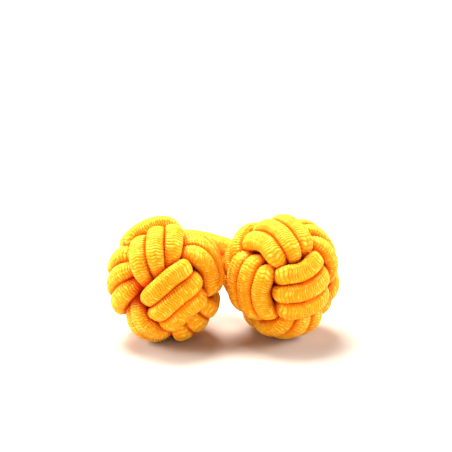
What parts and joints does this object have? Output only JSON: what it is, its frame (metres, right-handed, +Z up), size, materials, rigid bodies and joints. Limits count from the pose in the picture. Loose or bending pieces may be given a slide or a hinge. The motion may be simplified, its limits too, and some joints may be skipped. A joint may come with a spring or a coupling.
{
  "type": "silk knot cuff button",
  "caption": "Round knots woven from parallel passes of elastic cord, joined behind by a short cord link that closes a shirt cuff.",
  "frame": {"origin": "middle of the whole object's footprint, on the surface it rests on", "axes": "+Z up, the two knots lie side by side along X, the link bends behind them towards +Y"},
  "size_m": [0.0246, 0.0176, 0.0133],
  "materials": {
    "cord": "golden yellow braided elastic cord with fine cross ribs and a soft sheen",
    "core": "the same cord packed tight inside the knot"
  },
  "bodies": {
    "root": {"left_pass_1": "cord", "left_pass_2": "cord", "left_pass_3": "cord", "left_core": "core", "right_pass_1": "cord", "right_pass_2": "cord", "right_pass_3": "cord", "right_core": "core", "link_upper": "cord", "link_lower": "cord"}
  },
  "joints": []
}
